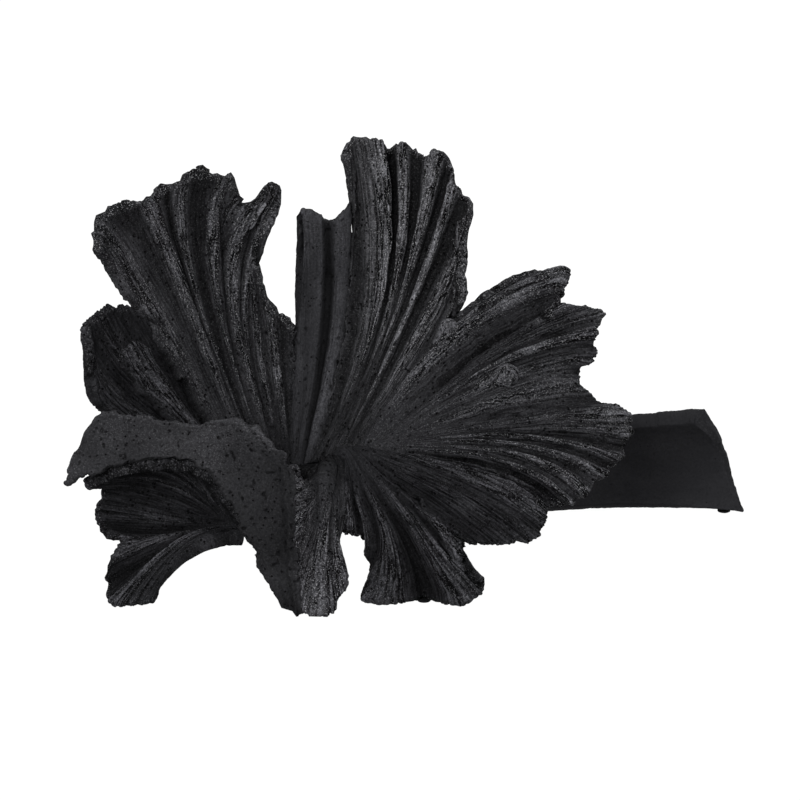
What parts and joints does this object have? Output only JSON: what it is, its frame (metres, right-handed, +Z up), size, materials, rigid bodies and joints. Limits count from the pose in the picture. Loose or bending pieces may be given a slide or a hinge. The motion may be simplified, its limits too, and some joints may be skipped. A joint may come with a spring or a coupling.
{
  "type": "fan coral sculpture",
  "caption": "Dark cast-stone tabletop sculpture of a ruffled fan coral: pleated fans round an open bowl, a smooth stem lying behind and felt-padded feet.",
  "frame": {"origin": "centre of the footprint box at the surface that the felt pads stand on", "axes": "+X from the open left lobe to the stem's flared end, +Y from the front to the back, +Z up"},
  "size_m": [0.5098, 0.2512, 0.3004],
  "materials": {
    "cast_stone": "matte, pitted, with fine grooves along the ribs and rubbed lighter edges",
    "cut_stone": "matte, smooth with pores",
    "smooth_stone": "matte, smooth with a fine grain",
    "felt": "pressed wool felt"
  },
  "bodies": {
    "root": {"throat_core": "cast_stone", "rear_left_fan": "cast_stone", "left_back_fan": "cast_stone", "left_inner_fold": "cast_stone", "rear_centre_fan": "cast_stone", "rear_tall_fan": "cast_stone", "right_upper_lobe": "cast_stone", "right_shoulder_lobe": "cast_stone", "right_broad_lobe": "cast_stone", "right_lower_lobe": "cast_stone", "front_centre_lobe": "cast_stone", "front_leg_lobe": "cast_stone", "front_shoulder_band": "cut_stone", "left_shoulder_lobe": "cast_stone", "lower_left_lobe": "cast_stone", "rear_stem": "smooth_stone", "back_foot": "cast_stone", "growth_knobs": "cast_stone", "foot_pads": "felt"}
  },
  "joints": []
}
